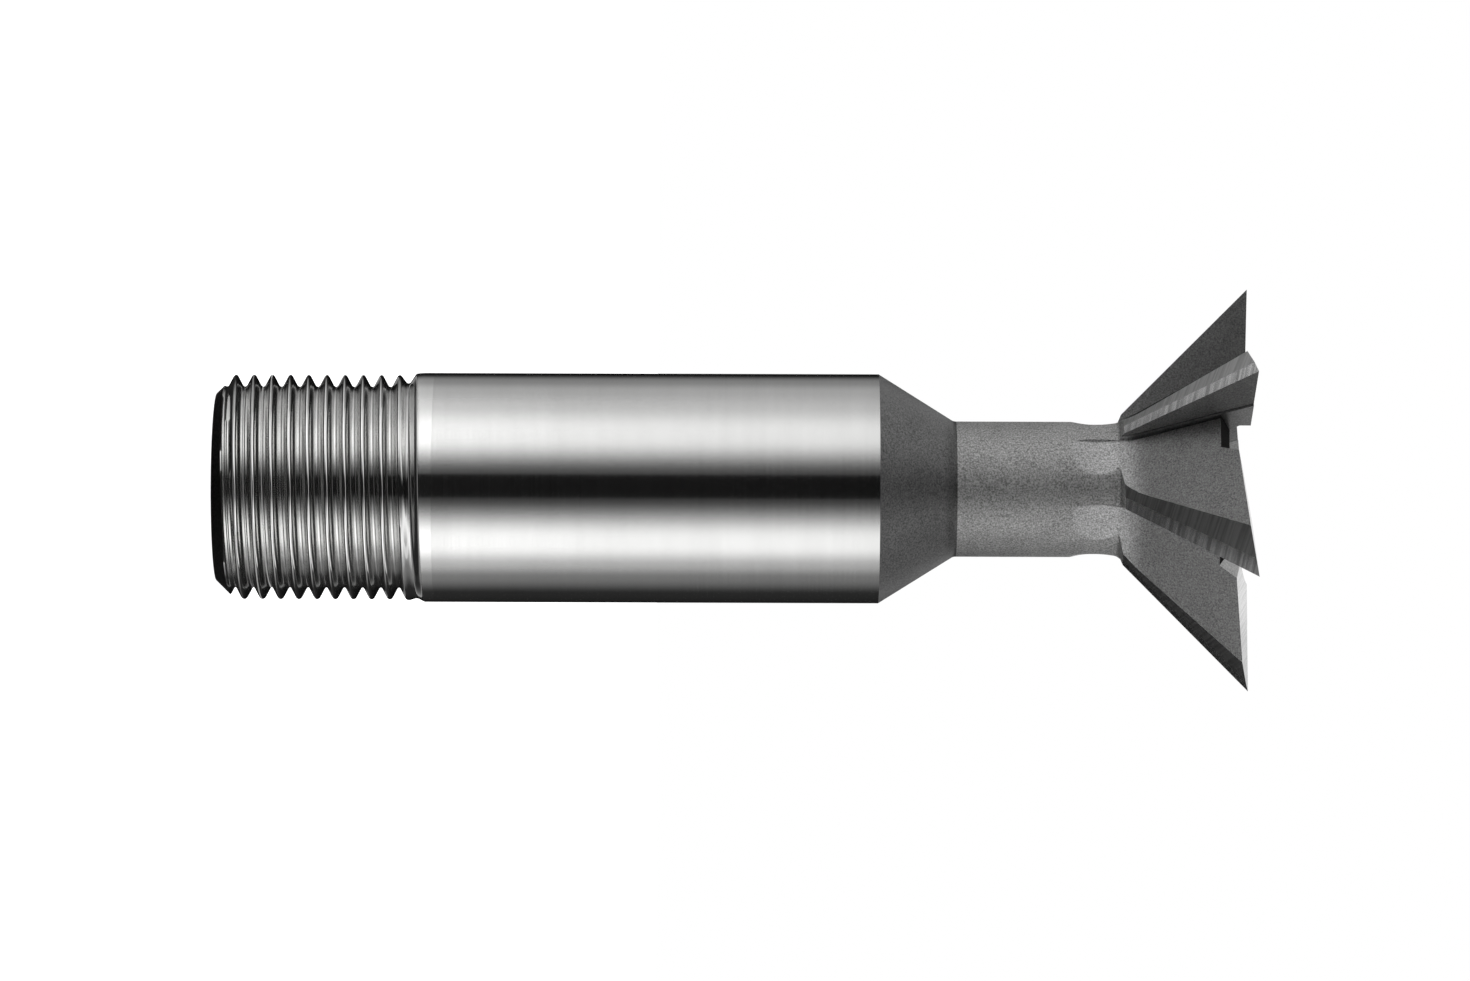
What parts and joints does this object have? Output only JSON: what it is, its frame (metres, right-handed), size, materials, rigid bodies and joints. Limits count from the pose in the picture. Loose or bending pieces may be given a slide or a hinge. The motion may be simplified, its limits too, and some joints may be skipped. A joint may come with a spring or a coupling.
{
  "type": "dovetail cutter",
  "caption": "Inverse dovetail milling cutter: straight gashed teeth on a 45 degree cone, reduced neck, and a plain ground shank with a screwed end.",
  "frame": {"origin": "centre of the shank's flat end face", "axes": "+Z along the tool's axis from the screwed end to the cutting end; +X through one tooth tip"},
  "size_m": [0.0282, 0.0246, 0.072],
  "materials": {
    "tool_steel": "ground high-speed steel, bright on the shank and satin grey on the head"
  },
  "bodies": {
    "root": {"dovetail_cutter": "tool_steel"}
  },
  "joints": []
}
